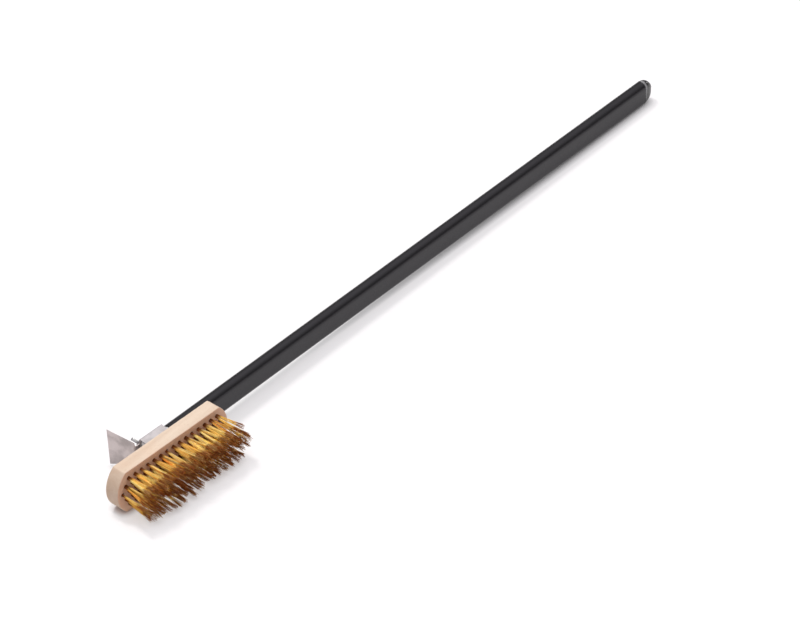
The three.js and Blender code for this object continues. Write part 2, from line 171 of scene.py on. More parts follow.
def copy_of_node(node, name):
    """A welded copy of a CAD node's mesh, its flat faces whole again."""
    weld = 0.002 * MM
    flat = math.radians(0.5)
    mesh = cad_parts[node].data.copy()
    mesh.materials.clear()
    form = bmesh.new()
    form.from_mesh(mesh)
    bmesh.ops.remove_doubles(form, verts=form.verts, dist=weld)
    bmesh.ops.dissolve_limit(form, angle_limit=flat, verts=form.verts, edges=form.edges)
    form.to_mesh(mesh)
    form.free()
    return add_object(name, mesh)


def finish_piece(piece, body, material, node):
    """Gives a piece its material and its CAD body, and hides the CAD node that it stands for."""
    piece.data.materials.clear()
    piece.data.materials.append(material)
    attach(piece, body)
    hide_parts(node)


# ---- material tools -----------------------------------------------------------------------------

class Shader:
    """A material's node tree, with short calls for the nodes that the surfaces below share."""

    def __init__(self, name):
        self.material = bpy.data.materials.new(name)
        self.material.use_nodes = True
        self.tree = self.material.node_tree
        self.surface = self.tree.nodes["Principled BSDF"]
        self.place = self.add("ShaderNodeTexCoord").outputs["Object"]

    def add(self, kind, **settings):
        """A new node, with its settings."""
        node = self.tree.nodes.new(kind)
        for key, value in settings.items():
            setattr(node, key, value)
        return node

    def join(self, source, target):
        """Links a node's output to an input, or sets the input to a number or colour."""
        if isinstance(source, (int, float, tuple)):
            target.default_value = source
        else:
            self.tree.links.new(source, target)

    def set(self, **inputs):
        """Sets or links inputs of the surface, named as in Blender with _ for a space."""
        for key, value in inputs.items():
            name = key.replace("_", " ")
            self.join(value, self.surface.inputs[name])

    def noise(self, scale, detail=3.0, roughness=0.55, distortion=0.0):
        """Noise from 0 to 1. scale is features per metre along x, y and z."""
        mapping = self.add("ShaderNodeMapping")
        mapping.inputs["Scale"].default_value = scale
        self.tree.links.new(self.place, mapping.inputs["Vector"])
        node = self.add("ShaderNodeTexNoise")
        node.inputs["Scale"].default_value = 1.0
        node.inputs["Detail"].default_value = detail
        node.inputs["Roughness"].default_value = roughness
        node.inputs["Distortion"].default_value = distortion
        self.tree.links.new(mapping.outputs["Vector"], node.inputs["Vector"])
        return node.outputs["Fac"]

    def facing(self):
        """x, y and z of the way the surface faces, in the piece's own axes."""
        split = self.add("ShaderNodeSeparateXYZ")
        self.tree.links.new(self.add("ShaderNodeTexCoord").outputs["Normal"], split.inputs[0])
        return tuple(split.outputs)

    def position(self):
        """x, y and z of the point, in the piece's own axes."""
        split = self.add("ShaderNodeSeparateXYZ")
        self.tree.links.new(self.place, split.inputs[0])
        return tuple(split.outputs)

    def attribute(self, name):
        """A number stored on the mesh's points."""
        return self.add("ShaderNodeAttribute", attribute_name=name).outputs["Fac"]

    def span(self, value, low, high, start=0.0, end=1.0):
        """value from low..high spread over start..end, smoothly and clamped."""
        node = self.add("ShaderNodeMapRange", interpolation_type="SMOOTHSTEP")
        self.join(value, node.inputs["Value"])
        for key, number in (("From Min", low), ("From Max", high), ("To Min", start), ("To Max", end)):
            node.inputs[key].default_value = number
        return node.outputs["Result"]

    def maths(self, operation, a, b=0.0):
        """a and b put together by a maths operation."""
        node = self.add("ShaderNodeMath", operation=operation)
        self.join(a, node.inputs[0])
        self.join(b, node.inputs[1])
        return node.outputs[0]

    def mix(self, amount, a, b):
        """Colour a turning into colour b."""
        node = self.add("ShaderNodeMix", data_type="RGBA")
        self.join(amount, node.inputs[0])
        for colour, socket in ((a, node.inputs[6]), (b, node.inputs[7])):
            if isinstance(colour, tuple):
                socket.default_value = (*colour, 1.0)
            else:
                self.tree.links.new(colour, socket)
        return node.outputs[2]

    def bump(self, height, depth, strength=1.0):
        """A bumpy surface; depth is the height of its relief in metres."""
        node = self.add("ShaderNodeBump")
        node.inputs["Strength"].default_value = strength
        node.inputs["Distance"].default_value = depth
        self.join(height, node.inputs["Height"])
        self.tree.links.new(node.outputs["Normal"], self.surface.inputs["Normal"])


# ---- materials ----------------------------------------------------------------------------------

def beech():
    """Pale sanded beech with its grain along the block: soft bands, fine fibres and brown flecks."""
    dark_band = (0.57, 0.443, 0.335)
    light_band = (0.63, 0.515, 0.405)
    ruddy_cloud = (0.62, 0.43, 0.31)
    fibre_brown = (0.51, 0.35, 0.22)
    fleck_brown = (0.385, 0.23, 0.13)
    end_brown = (0.40, 0.25, 0.17)
    # painted shade: the colour for the face the bristles leave, darker and redder, as in shade with
    # warm bounce light from the brass
    front_shade_brown = (0.72, 0.34, 0.20)
    s = Shader("beech")
    bands = s.noise((5, 70, 70), detail=2, distortion=0.6)
    fibres = s.noise((60, 1400, 1400), detail=2)
    flecks = s.span(s.noise((320, 2300, 2300), detail=1), 0.62, 0.72)
    clouds = s.noise((28, 28, 28), detail=2)
    base = s.mix(s.span(bands, 0.35, 0.65), dark_band, light_band)
    base = s.mix(s.maths("MULTIPLY", s.span(clouds, 0.4, 0.7), 0.25), base, ruddy_cloud)
    base = s.mix(s.span(fibres, 0.45, 0.75, 0.0, 0.22), base, fibre_brown)
    base = s.mix(s.maths("MULTIPLY", flecks, 0.42), base, fleck_brown)
    facing_x, facing_y, _ = s.facing()
    end_grain = s.span(s.maths("ABSOLUTE", facing_x), 0.35, 0.85, 0.0, 0.30)
    # painted shade: faces turned towards the bristles are darkened and reddened, standing in for shade
    # and the brass's warm bounce light
    drilled = s.span(facing_y, -0.4, -0.9, 0.0, 0.45)
    base = s.mix(end_grain, base, end_brown)
    base = s.mix(drilled, base, front_shade_brown)
    s.set(Base_Color=base, Roughness=s.span(fibres, 0.2, 0.8, 0.52, 0.68))
    s.set(Specular_IOR_Level=0.35)
    relief = s.maths("SUBTRACT", s.maths("MULTIPLY", fibres, 0.6), s.maths("MULTIPLY", flecks, 0.5))
    s.bump(relief, 0.06 * MM, 0.5)
    return s.material


def brass_wire():
    """Drawn brass wire, no two alike: painted shade where it enters the wood, dark tips part stain,
    part painted shade.

    Each wire carries two numbers: along, from 0 where it leaves the wood to 1 at its tip, and shade,
    from 0 for coppery to 1 for pale.
    """
    coppery = (0.80, 0.27, 0.035)
    golden = (1.0, 0.74, 0.18)
    pale = (1.0, 0.86, 0.38)
    aged_brown = (0.50, 0.22, 0.04)
    # painted shade at the roots; the brown at the tips is part stain, part painted shade
    root_painted_shade = (0.25, 0.075, 0.020)
    tip_stain_and_shade = (0.30, 0.090, 0.024)
    s = Shader("brass_wire")
    along = s.attribute("along")
    shade = s.attribute("shade")
    bright = s.mix(s.span(shade, 0.10, 0.55), coppery, golden)
    bright = s.mix(s.span(shade, 0.60, 0.85), bright, pale)
    blotches = s.span(s.noise((260, 260, 260), detail=3), 0.52, 0.72)
    aged = s.mix(s.maths("MULTIPLY", blotches, 0.30), bright, aged_brown)
    # painted shade: the wires darken where they leave the wood
    root = s.span(along, 0.22, 0.08)
    # the tips darken: part stain, part painted shade, less on the palest wires
    reach = s.maths("ADD", along, s.span(blotches, 0.0, 1.0, -0.05, 0.08))
    tip = s.maths("MULTIPLY", s.span(reach, 0.62, 0.76), s.span(shade, 1.0, 0.3, 0.75, 1.0))
    stain_and_shade = s.mix(root, aged, root_painted_shade)
    stain_and_shade = s.mix(tip, stain_and_shade, tip_stain_and_shade)
    s.set(Base_Color=stain_and_shade, Metallic=0.35, Roughness=s.span(blotches, 0.0, 1.0, 0.28, 0.42))
    s.set(Specular_IOR_Level=0.4, Specular_Tint=(1.0, 0.78, 0.40, 1))
    s.bump(s.noise((900, 900, 900), detail=2), 0.03 * MM, 0.4)
    return s.material


def anodised_tube():
    """Dark satin tube: faint draw lines along it, a fine grain, and a few light rubs."""
    darker = (0.031, 0.030, 0.0325)
    lighter = (0.043, 0.0415, 0.0445)
    rubbed = (0.085, 0.080, 0.085)
    s = Shader("anodised_tube")
    lines = s.noise((9, 2600, 2600), detail=2)
    grain = s.noise((2600, 2600, 2600), detail=2)
    rubs = s.span(s.noise((60, 420, 420), detail=4, roughness=0.7), 0.62, 0.8)
    base = s.mix(lines, darker, lighter)
    base = s.mix(s.maths("MULTIPLY", rubs, 0.35), base, rubbed)
    polish = s.maths("ADD", grain, s.maths("MULTIPLY", rubs, -0.4))
    s.set(Base_Color=base, Metallic=0.9, Roughness=s.span(polish, 0.2, 0.8, 0.26, 0.36))
    relief = s.maths("ADD", s.maths("MULTIPLY", grain, 0.7), s.maths("MULTIPLY", lines, 0.3))
    s.bump(relief, 0.02 * MM, 0.35)
    return s.material


def stainless(name, tint, streak_scale):
    """Rolled stainless sheet: streaks along one way, cloudy handling marks and small pits."""
    s = Shader(name)
    streaks = s.noise(streak_scale, detail=3)
    clouds = s.noise((55, 55, 55), detail=3)
    pits = s.span(s.noise((900, 900, 900), detail=2), 0.66, 0.78)
    dull = tuple(c * 0.72 for c in tint)
    dark = tuple(c * 0.55 for c in tint)
    base = s.mix(s.span(clouds, 0.35, 0.65), tint, dull)
    base = s.mix(s.maths("MULTIPLY", pits, 0.3), base, dark)
    brushed = s.span(streaks, 0.25, 0.75, 0.36, 0.48)
    handled = s.span(clouds, 0.4, 0.75, 0.0, 0.10)
    s.set(Base_Color=base, Metallic=0.95, Roughness=s.maths("ADD", brushed, handled))
    s.bump(streaks, 0.012 * MM, 0.5)
    return s.material


def zinc_plate(name="zinc_plate", shaded_above=None):
    """Zinc plate on small steel hardware, with a faint bloom.

    The second argument, a y, paints near-black shade round the bolt from that y on.
    """
    # near black, painted as shade in the nut's hollow round the bolt
    bolt_shade_black = (0.018, 0.009, 0.007)
    bolt_shade_reach = 6.0 * MM  # from the bolt's axis
    thick_within = 4.4 * MM
    fade = 1.5 * MM
    s = Shader(name)
    metallic = 1.0
    bloom = s.noise((240, 240, 240), detail=3)
    grain = s.noise((2200, 2200, 2200), detail=2)
    base = s.mix(s.span(bloom, 0.35, 0.65), (0.40, 0.40, 0.41), (0.43, 0.415, 0.38))
    # painted shade: near black and less metallic round the bolt, above the given y
    if shaded_above is not None:
        x, y, z = s.position()
        aside = s.maths("SUBTRACT", x, bolt_axis.x)
        up = s.maths("SUBTRACT", z, bolt_axis.z)
        reach = s.maths("SQRT", s.maths("ADD", s.maths("POWER", aside, 2), s.maths("POWER", up, 2)))
        near = s.span(reach, bolt_shade_reach, thick_within)
        high = s.span(y, shaded_above, shaded_above + fade)
        painted_bolt_shade = s.maths("MULTIPLY", near, high)
        base = s.mix(painted_bolt_shade, base, bolt_shade_black)
        metallic = s.maths("SUBTRACT", 1.0, painted_bolt_shade)
    s.set(Base_Color=base, Metallic=metallic, Roughness=s.span(grain, 0.25, 0.75, 0.26, 0.42))
    s.bump(grain, 0.012 * MM, 0.4)
    return s.material


def black_steel():
    """Black-oxide steel, oiled: rubbed a little lighter in patches."""
    s = Shader("black_steel")
    rubs = s.span(s.noise((500, 500, 500), detail=3), 0.5, 0.75)
    grain = s.noise((2200, 2200, 2200), detail=2)
    base = s.mix(s.maths("MULTIPLY", rubs, 0.5), (0.020, 0.017, 0.015), (0.085, 0.078, 0.072))
    s.set(Base_Color=base, Metallic=0.8, Roughness=s.span(grain, 0.25, 0.75, 0.38, 0.55))
    s.bump(grain, 0.012 * MM, 0.4)
    return s.material


def cast_aluminium():
    """Sand-cast aluminium, tumbled: a soft grain with small pits."""
    s = Shader("cast_aluminium")
    grain = s.noise((1300, 1300, 1300), detail=4, roughness=0.65)
    pits = s.span(grain, 0.62, 0.75)
    base = s.mix(pits, (0.66, 0.65, 0.65), (0.42, 0.41, 0.41))
    s.set(Base_Color=base, Metallic=0.6, Roughness=s.span(grain, 0.3, 0.7, 0.40, 0.58))
    s.bump(grain, 0.05 * MM, 0.6)
    return s.material


def black_plastic():
    """Glossy moulded plastic: faint flow marks, a few hairline scuffs, and a painted grey highlight on
    its upper shoulder.
    """
    black = (0.012, 0.012, 0.012)
    scuffed = (0.05, 0.05, 0.05)
    # the colour of a painted highlight
    highlight_grey = (0.26, 0.26, 0.265)
    highlight_start = 2.0 * MM  # past the tube's end
    highlight_end = 4.5 * MM
    s = Shader("black_plastic")
    flow = s.noise((90, 90, 90), detail=3, distortion=1.2)
    scuffs = s.span(s.noise((1500, 500, 180), detail=2), 0.66, 0.74)
    base = s.mix(s.maths("MULTIPLY", scuffs, 0.4), black, scuffed)
    rough = s.span(s.maths("ADD", flow, s.maths("MULTIPLY", scuffs, 0.5)), 0.3, 1.1, 0.12, 0.40)
    # painted highlight: the upper part of the shoulder, just past the tube's end, is painted light
    # grey
    x, _, z = s.position()
    shoulder = s.span(x, tube_high.x + highlight_end, tube_high.x + highlight_start)
    upper = s.span(z, block_centre.z - 12 * MM, block_centre.z + 9 * MM, 0.12, 1.0)
    patchy = s.span(flow, 0.3, 0.6, 0.5, 0.9)
    rubbed = s.maths("MULTIPLY", s.maths("MULTIPLY", shoulder, upper), patchy)
    base = s.mix(rubbed, base, highlight_grey)
    s.set(Base_Color=base, Roughness=rough, Specular_IOR_Level=0.45)
    s.bump(flow, 0.05 * MM, 0.2)
    return s.material


def nylon():
    """Off-white nylon with a faint mottle."""
    s = Shader("nylon")
    mottle = s.noise((400, 400, 400), detail=3)
    base = s.mix(mottle, (0.60, 0.585, 0.54), (0.68, 0.665, 0.63))
    s.set(Base_Color=base, Roughness=s.span(mottle, 0.3, 0.7, 0.42, 0.55))
    s.bump(mottle, 0.03 * MM, 0.3)
    return s.material


# ---- brush head ---------------------------------------------------------------------------------

def row_height(row):
    """z of a row of tufts."""
    return block_centre.z + (row - (len(TUFTS_IN_ROW) - 1) / 2) * ROW_PITCH


def tuft_places(row):
    """x of each tuft in a row."""
    count = TUFTS_IN_ROW[row]
    return [block_centre.x + (i - (count - 1) / 2) * TUFT_PITCH for i in range(count)]


def block_outline(arc_steps=28):
    """The block's outline in x and z: straight long sides and bowed ends."""
    half = (block_high.z - block_low.z) / 2
    radius = (half ** 2 + END_RISE ** 2) / (2 * END_RISE)
    centre = (block_high.x - block_low.x) / 2 - radius
    spread = math.asin(half / radius)
    points = []
    for side in (1, -1):
        for i in range(arc_steps + 1):
            angle = -spread + 2 * spread * i / arc_steps
            x = side * (centre + radius * math.cos(angle))
            points.append((block_centre.x + x, block_centre.z + side * radius * math.sin(angle)))
    return points


def cylinders(name, places, radius, y0, y1, sides=24):
    """Closed round bars along Y at (x, z) places, as one mesh."""
    points, faces = [], []
    for x, z in places:
        start = len(points)
        for y in (y0, y1):
            for i in range(sides):
                angle = 2 * math.pi * i / sides
                points.append((x + radius * math.cos(angle), y, z + radius * math.sin(angle)))
        for face in loft_faces(2, sides):
            faces.append(tuple(start + corner for corner in face))
    mesh = mesh_from(name, points, faces)
    faces_outward(mesh)
    return add_object(name, mesh)


def cut_away(piece, cutter):
    """Cuts one piece's shape out of another, then drops the cutter."""
    modifier = piece.modifiers.new("cut", "BOOLEAN")
    modifier.operation = "DIFFERENCE"
    modifier.solver = "EXACT"
    modifier.object = cutter
    applied(piece)
    bpy.data.objects.remove(cutter)
    return piece


def wood_block():
    """The beech block with eased edges and a drilled hole for each tuft."""
    outline = block_outline()
    size = len(outline)
    points = [(x, y, z) for y in (block_face, block_back) for x, z in outline]
    mesh = mesh_from("beech_block", points, loft_faces(2, size))
    faces_outward(mesh)
    piece = bevel(add_object("beech_block", mesh), BLOCK_EDGE, segments=3)
    places = [(x, row_height(row)) for row in range(len(TUFTS_IN_ROW)) for x in tuft_places(row)]
    in_front = block_face - 5 * MM
    holes = cylinders("holes", places, HOLE_RADIUS, in_front, block_face + HOLE_DEPTH)
    piece = cut_away(piece, holes)
    return shade_flat_faces_flat(piece, 30)


LOCKS_IN_TUFT = 2  # the two halves of the wires, folded round a staple in the hole
WIRES_IN_LOCK = 16
WIRE_RADIUS = 0.23 * MM
WIRE_SIDES = 5
WIRE_STEPS = 7
SUNK = 8 * MM  # how deep a wire starts in its hole
TUFT_LENGTH = 38.7 * MM
TUFT_ROOT_RADIUS = 2.2 * MM
LOCK_PLACE = 0.5  # how far from a tuft's middle its locks start, as a share of its root radius
LOCK_ROOT = 0.55  # a lock's own radius there, as the same share
LOCK_REACH = 2.6 * MM  # how far the locks part by their tips
LOCK_RADIUS = 1.7 * MM  # and how wide they are there
LOCK_TURN = 0.45  # radians that a tuft's fold strays from the line of its row
WIRE_DRIFT = 0.8 * MM  # how far a wire's tip strays from its place
STRAY_CHANCE = 0.10  # a few wires stray further
STRAY_DRIFT = 2.6
PARTING_CURVE = 1.2  # powers of reach: a wire bends away from its axis more and more
DRIFT_CURVE = 1.7
ROW_LEAN = math.radians(1.2)  # the lower rows lean down, each more than the one above it
TOP_LEAN = math.radians(0.3)  # and the upper rows up, only a little
END_LEAN = math.radians(2.6)  # the tufts at the head's near end lean outward
LOOSE_LEAN = math.radians(1.4)  # and every tuft leans a little its own way


def round_direction(side, up, angle):
    """The direction at an angle from side towards up."""
    return side * math.cos(angle) + up * math.sin(angle)


def wire_path(start, axis, parting, drift, length, crimp, rng):
    """Points of one wire from inside its hole to its tip: it parts with its lock, drifts and waves."""
    waves, phase = rng.uniform(1.6, 2.8), rng.uniform(0, 2 * math.pi)
    across = Vector((rng.uniform(-1, 1), 0, rng.uniform(-1, 1))).normalized()
    points = []
    for step in range(WIRE_STEPS + 1):
        reach = (length + SUNK) * step / WIRE_STEPS - SUNK
        free = max(0.0, reach / length)
        wave = across * (crimp * min(1.0, 3 * free) * math.sin(phase + waves * 2 * math.pi * free))
        away = parting * free ** PARTING_CURVE + drift * free ** DRIFT_CURVE
        point = start + axis * reach + away + wave
        point.z = max(point.z, block_low.z + WIRE_RADIUS)  # no wire may reach below the table
        points.append(point)
    return points


def tuft_paths(root, axis, rng):
    """Every wire of a tuft, as (path, shade): its locks part, and a few wires stray."""
    side = Vector((1, 0, 0))
    up = side.cross(axis).normalized()
    tuft_turn = rng.gauss(0, LOCK_TURN)
    tuft_shade = rng.uniform(-0.06, 0.06)
    tuft_length = TUFT_LENGTH * rng.gauss(1.0, 0.025)
    for lock in range(LOCKS_IN_TUFT):
        angle = tuft_turn + 2 * math.pi * lock / LOCKS_IN_TUFT + rng.uniform(-0.35, 0.35)
        lock_side = round_direction(side, up, angle)
        lock_parting = lock_side * LOCK_REACH * rng.uniform(0.5, 1.5)
        lock_shade = 0.52 + tuft_shade + rng.uniform(-0.22, 0.22)
        lock_length = tuft_length * rng.gauss(1.0, 0.02)
        for _ in range(WIRES_IN_LOCK):
            place = round_direction(side, up, rng.uniform(0, 2 * math.pi)) * math.sqrt(rng.random())
            start = root + lock_side * TUFT_ROOT_RADIUS * LOCK_PLACE
            start += place * TUFT_ROOT_RADIUS * LOCK_ROOT
            parting = lock_parting + place * (LOCK_RADIUS - TUFT_ROOT_RADIUS * LOCK_ROOT)
            stray = STRAY_DRIFT if rng.random() < STRAY_CHANCE else 1.0
            drift = Vector((rng.gauss(0, 1), 0, rng.gauss(0, 1))) * WIRE_DRIFT * stray
            length = lock_length * rng.gauss(1.0, 0.035)
            crimp = rng.uniform(0.05, 0.2) * MM
            shade = min(1.0, max(0.0, lock_shade + rng.uniform(-0.36, 0.36)))
            yield wire_path(start, axis, parting, drift, length, crimp, rng), shade


def tube_round(path, radius, sides):
    """Rings of points round a nearly straight path."""
    rings = []
    for i, point in enumerate(path):
        ahead = path[min(i + 1, len(path) - 1)] - path[max(i - 1, 0)]
        direction = ahead.normalized()
        side = direction.cross(Vector((0, 0, 1))).normalized()
        up = side.cross(direction)
        for k in range(sides):
            rings.append(point + round_direction(side, up, 2 * math.pi * k / sides) * radius)
    return rings


def bristle_row(row, rng):
    """One row of tufts, wire by wire."""
    middle_row = (len(TUFTS_IN_ROW) - 1) / 2
    lean = (row - middle_row) * (ROW_LEAN if row < middle_row else TOP_LEAN)
    places = tuft_places(row)
    reach = places[-1] - block_centre.x
    points, faces, along, shade = [], [], [], []
    wire_faces = loft_faces(WIRE_STEPS + 1, WIRE_SIDES)
    steps_along = []
    for step in range(WIRE_STEPS + 1):
        free = (step / WIRE_STEPS * (TUFT_LENGTH + SUNK) - SUNK) / TUFT_LENGTH
        steps_along.extend([max(0.0, free)] * WIRE_SIDES)
    for x in places:
        end_lean = END_LEAN * min(0, (x - block_centre.x) / reach) ** 3 + rng.gauss(0, LOOSE_LEAN)
        row_lean = lean + rng.gauss(0, LOOSE_LEAN)
        axis = Vector((math.sin(end_lean), -1, math.sin(row_lean))).normalized()
        root = Vector((x, block_face, row_height(row)))
        for path, wire_shade in tuft_paths(root, axis, rng):
            start = len(points)
            points.extend(tube_round(path, WIRE_RADIUS, WIRE_SIDES))
            faces.extend(tuple(start + corner for corner in face) for face in wire_faces)
            along.extend(steps_along)
            shade.extend([wire_shade] * len(steps_along))
    name = f"brass_tufts_{row + 1}"
    mesh = mesh_from(name, points, faces)
    faces_outward(mesh)
    for key, values in (("along", along), ("shade", shade)):
        mesh.attributes.new(key, "FLOAT", "POINT").data.foreach_set("value", values)
    smooth_by_angle(mesh, 60)
    return add_object(name, mesh)


# ---- handle -------------------------------------------------------------------------------------

# the tube leans a little away from the bristles, and its box is that much thicker than it is
tube_lean = (tube_high.y - tube_low.y - TUBE_THICKNESS) / (tube_high.x - tube_low.x)
tube_angle = math.atan(tube_lean)
tube_width = tube_high.z - tube_low.z
tube_axis_start = Vector((tube_low.x, tube_low.y + TUBE_THICKNESS / 2, block_centre.z))
tube_length = (tube_high.x - tube_low.x) / math.cos(tube_angle)
handle_line = Matrix.Translation(tube_axis_start) @ Matrix.Rotation(tube_angle, 4, "Z")


def flat_oval(width, thickness, steps=20):
    """The handle's section in (y, z): two half circles joined by flats, each flat in four."""
    radius = thickness / 2
    reach = width / 2 - radius
    points = []
    for side in (1, -1):
        for i in range(steps + 1):
            angle = math.pi * i / steps
            points.append((side * radius * math.cos(angle), side * (reach + radius * math.sin(angle))))
        for i in range(1, 4):
            points.append((-side * radius, side * reach * (1 - i / 2)))
    return points


def oval_loft(name, sections, closed=False):
    """A loft of (x, width, thickness) sections along the handle's line."""
    points = []
    for x, width, thickness in sections:
        points.extend(handle_line @ Vector((x, y, z)) for y, z in flat_oval(width, thickness))
    size = len(points) // len(sections)
    mesh = mesh_from(name, points, loft_faces(len(sections), size, closed))
    faces_outward(mesh)
    smooth_by_angle(mesh, 40)
    return add_object(name, mesh)


def tube():
    """The tube, hollow, with its cut ends lightly deburred."""
    edge = 0.3 * MM
    bays = 12
    outer = (tube_width, TUBE_THICKNESS)
    inner = (tube_width - 2 * TUBE_WALL, TUBE_THICKNESS - 2 * TUBE_WALL)
    eased = tuple(size - 2 * edge for size in outer)
    opened = tuple(size + 2 * edge for size in inner)
    stations = [(0, *eased), (edge, *outer)]
    stations += [(tube_length * i / bays, *outer) for i in range(1, bays)]
    stations += [(tube_length - edge, *outer), (tube_length, *eased)]
    stations += [(tube_length, *opened), (tube_length - edge, *inner), (edge, *inner), (0, *opened)]
    return oval_loft("flat_oval_tube", stations, closed=True)


def end_cap():
    """The plug: a tail inside the tube, a groove at its mouth and a half-oval dome."""
    gap = 0.3 * MM
    groove = 0.6 * MM
    shoulder = 0.8 * MM
    tail = 26 * MM
    taper = 3 * MM  # the length of the lead at the tail's inner end
    lead = 2 * MM  # and how much narrower the tail is there
    step = 0.02 * MM  # along the tube, where the groove's wall meets the dome's lip
    flatness = 0.62  # below 1 the dome keeps its thickness further out
    last_ring = math.radians(82)  # the dome ends in a small flat
    tail_width = tube_width - 2 * TUBE_WALL - 2 * gap
    tail_thickness = TUBE_THICKNESS - 2 * TUBE_WALL - 2 * gap
    face = tube_length + gap
    dome_start = face + groove
    dome = (cap_high.x - tube_high.x) / math.cos(tube_angle) / math.sin(last_ring) - gap - groove
    start = tube_length - tail
    lip = (tube_width - 2 * groove, TUBE_THICKNESS - 2 * groove)
    sections = [
        (start, tail_width - lead, tail_thickness - lead),
        (start + taper, tail_width, tail_thickness),
        (face, tail_width, tail_thickness),
        (face + step, *lip),
    ]
    shoulder_rings = 5
    for ring in range(shoulder_rings + 1):
        angle = math.pi / 2 * ring / shoulder_rings
        rise = 2 * groove * (1 - math.sin(angle))
        x = dome_start - groove / 2 + shoulder * (1 - math.cos(angle))
        sections.append((x, tube_width - rise, TUBE_THICKNESS - rise))
    rings = 26
    for ring in range(1, rings + 1):
        angle = last_ring * ring / rings
        width = tube_width * math.cos(angle)
        thickness = TUBE_THICKNESS * math.cos(angle) ** flatness
        sections.append((dome_start + dome * math.sin(angle), width, thickness))
    return oval_loft("domed_cap", sections)


# ---- clamp hardware -----------------------------------------------------------------------------

def softened(node, name, width):
    """A CAD node's own shape with its sharp edges eased, as pressing or tumbling leaves them."""
    return shade_flat_faces_flat(bevel(copy_of_node(node, name), width, segments=2, degrees=40))


def forged(node, name, voxel):
    """A CAD node's own shape as a forging: its inner corners filled and its outer ones rounded."""
    piece = copy_of_node(node, name)
    remesh = piece.modifiers.new("remesh", "REMESH")
    remesh.mode = "VOXEL"
    remesh.voxel_size = voxel
    relax = piece.modifiers.new("relax", "SMOOTH")
    relax.factor = 0.5
    relax.iterations = 3
    applied(piece)
    piece.data.shade_smooth()
    return piece


def threaded_bolt():
    """The swivel bolt: round head, square neck and a rolled thread up to a chamfered tip."""
    piece = copy_of_node("swivel_bolt", "swivel_bolt_body")
    start = block_back + 2.6 * MM  # just above the plate
    end = bolt_high.y
    sides = 28
    rows_in_turn = 8
    rows = int((end - start) / THREAD_PITCH * rows_in_turn)
    crest = 0.0675 * MM  # the thread's crests stand this far below the bolt's radius
    depth = 0.3825 * MM  # and its roots this much further
    chamfer = 0.5 * MM
    chamfer_length = 0.8 * MM
    stub = 0.2 * MM  # what stays of the plain shank, inside the thread
    weld = 0.01 * MM
    points = []
    for row in range(rows + 1):
        y = start + (end - start) * row / rows
        fade = min(1.0, (end - y) / chamfer_length)
        for i in range(sides):
            turn = i / sides
            wave = abs(((y - start) / THREAD_PITCH + turn) % 1 * 2 - 1)
            radius = BOLT_RADIUS - crest - depth * wave - (1 - fade) * chamfer
            angle = -2 * math.pi * turn
            x = bolt_axis.x + radius * math.cos(angle)
            z = bolt_axis.z + radius * math.sin(angle)
            points.append((x, y, z))
    thread = mesh_from("thread", points, loft_faces(rows + 1, sides))
    faces_outward(thread)
    # the plain shank above the plate makes way for the thread
    form = bmesh.new()
    form.from_mesh(piece.data)
    for vertex in form.verts:
        if vertex.co.y > start:
            vertex.co.y = start + stub
    bmesh.ops.remove_doubles(form, verts=form.verts, dist=weld)
    form.from_mesh(thread)
    form.to_mesh(piece.data)
    form.free()
    smooth_by_angle(piece.data, 35)
    return piece


# ---- stage --------------------------------------------------------------------------------------

FLOOR_REACH = 9  # metres each way
FLOOR_GLOW = 0.51
CONTACT_REACH = 9 * MM  # things nearer than this dim the glow, a painted contact shadow, painted warm near the head


def floor():
    """A pale floor that carries the head's far lower edge and the end of the handle.

    It glows a little, as under light from all round, and less, as painted contact shadow, where
    something stands close over it.
    """
    rest_x = block_high.x - END_RISE
    tube_bottom = tube_low.z
    slope = math.atan((tube_bottom - block_low.z) / (tube_high.x - rest_x))
    corners = [(x * FLOOR_REACH, y * FLOOR_REACH, 0) for x, y in ((-1, -1), (1, -1), (1, 1), (-1, 1))]
    mesh = mesh_from("floor", corners, [(0, 1, 2, 3)])
    piece = add_object("floor", mesh)
    tilt = Matrix.Rotation(-slope, 4, "Y")
    piece.matrix_world = Matrix.Translation((rest_x, 0, block_low.z)) @ tilt
    mesh.materials.append(pale_floor())


def pale_floor():
    """The floor's surface: almost even, glowing where nothing stands close, with painted contact
    shadow, warm near the head, where things do.
    """
    open_tint = (1.0, 0.985, 0.99)
    # the colour of the painted shadow near the head
    head_shadow_tint = (1.0, 0.62, 0.50)
    warm_from = 30 * MM  # along the handle, fading in towards the head
    warm_full = -10 * MM
    s = Shader("pale_floor")
    mottle = s.noise((3, 3, 3), detail=2)
    s.set(Base_Color=s.mix(mottle, (0.40, 0.393, 0.397), (0.41, 0.403, 0.407)), Roughness=0.9)
    nearby = s.add("ShaderNodeAmbientOcclusion", samples=12)
    nearby.inputs["Distance"].default_value = CONTACT_REACH
    open_air = nearby.outputs["AO"]
    # painted contact shadow: the glow dims where something stands close over the floor
    glow = s.maths("MULTIPLY", s.maths("POWER", open_air, 1.4), FLOOR_GLOW)
    x, _, _ = s.position()  # from the block's far lower edge
    # painted warm shadow near the head, where the glow dims
    near_head = s.span(x, warm_from, warm_full)
    warm = s.maths("MULTIPLY", s.span(open_air, 0.85, 0.2), near_head)
    tint = s.mix(warm, open_tint, head_shadow_tint)
    s.set(Specular_IOR_Level=0.0, Emission_Color=tint, Emission_Strength=glow)
    return s.material


def area_light(name, target, direction, distance, size, power, colour=(1, 1, 1)):
    """A flat light facing the target; size is its width and height."""
    lamp = bpy.data.lights.new(name, "AREA")
    lamp.shape = "ELLIPSE"
    lamp.size, lamp.size_y = size
    lamp.energy = power
    lamp.color = colour
    piece = bpy.data.objects.new(name, lamp)
    bpy.context.scene.collection.objects.link(piece)
    away = Vector(direction).normalized()
    piece.location = target + away * distance
    piece.rotation_mode = "QUATERNION"
    piece.rotation_quaternion = away.to_track_quat("Z", "Y")


